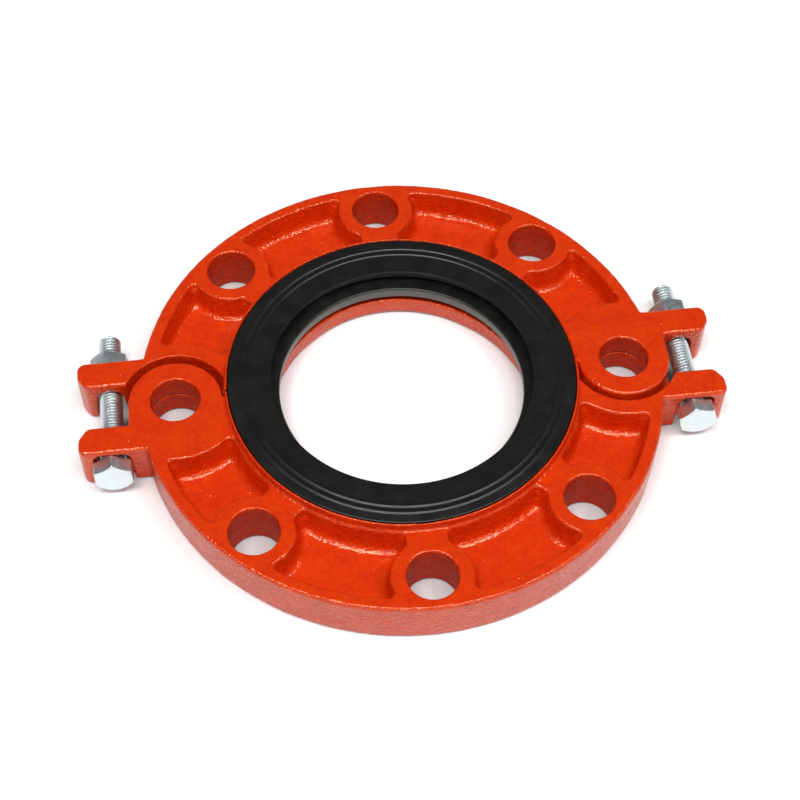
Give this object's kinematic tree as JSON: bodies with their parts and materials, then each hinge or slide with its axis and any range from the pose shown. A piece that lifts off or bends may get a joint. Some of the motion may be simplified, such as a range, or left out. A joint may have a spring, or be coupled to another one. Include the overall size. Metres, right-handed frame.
{
  "type": "flange adaptor",
  "caption": "Split ring flange adaptor for grooved pipe: lapped half castings with pockets and stud holes, a rubber gasket in their face, and draw bolts at the sides.",
  "frame": {"origin": "on the pipe's axis at the mating face of the castings, which is the centre of the stud holes' circle", "axes": "+Z out of the mating face towards the other flange, +X through the two lap holes and towards the right draw bolt, +Y from the front half to the rear half"},
  "size_m": [0.228, 0.185, 0.0216],
  "materials": {
    "painted_iron": "glossy orange-red paint over cast iron",
    "gasket_rubber": "satin black EPDM",
    "plated_steel": "bright zinc plate"
  },
  "bodies": {
    "front": {"front_half": "painted_iron", "gasket": "gasket_rubber", "left_draw_bolt": "plated_steel", "right_draw_bolt": "plated_steel"},
    "rear": {"rear_half": "painted_iron"},
    "left_nut": {"left_nut": "plated_steel"},
    "right_nut": {"right_nut": "plated_steel"}
  },
  "joints": [
    {"name": "rear_slide", "type": "slide", "parent": "front", "child": "rear", "axis": [0, 1, 0], "range_m": [0, 0.008]},
    {"name": "left_nut_turn", "type": "hinge", "parent": "rear", "child": "left_nut", "pos_m": [-0.103, 0.02285, -0.00915], "axis": [0, 1, 0], "range_deg": [0, 2304]},
    {"name": "right_nut_turn", "type": "hinge", "parent": "rear", "child": "right_nut", "pos_m": [0.103, 0.02285, -0.00915], "axis": [0, 1, 0], "range_deg": [0, 2304]}
  ],
  "couplings": [
    {"joint": "left_nut_turn", "follows": "rear_slide", "rad_per_m": 5026.5},
    {"joint": "right_nut_turn", "follows": "rear_slide", "rad_per_m": 5026.5}
  ]
}
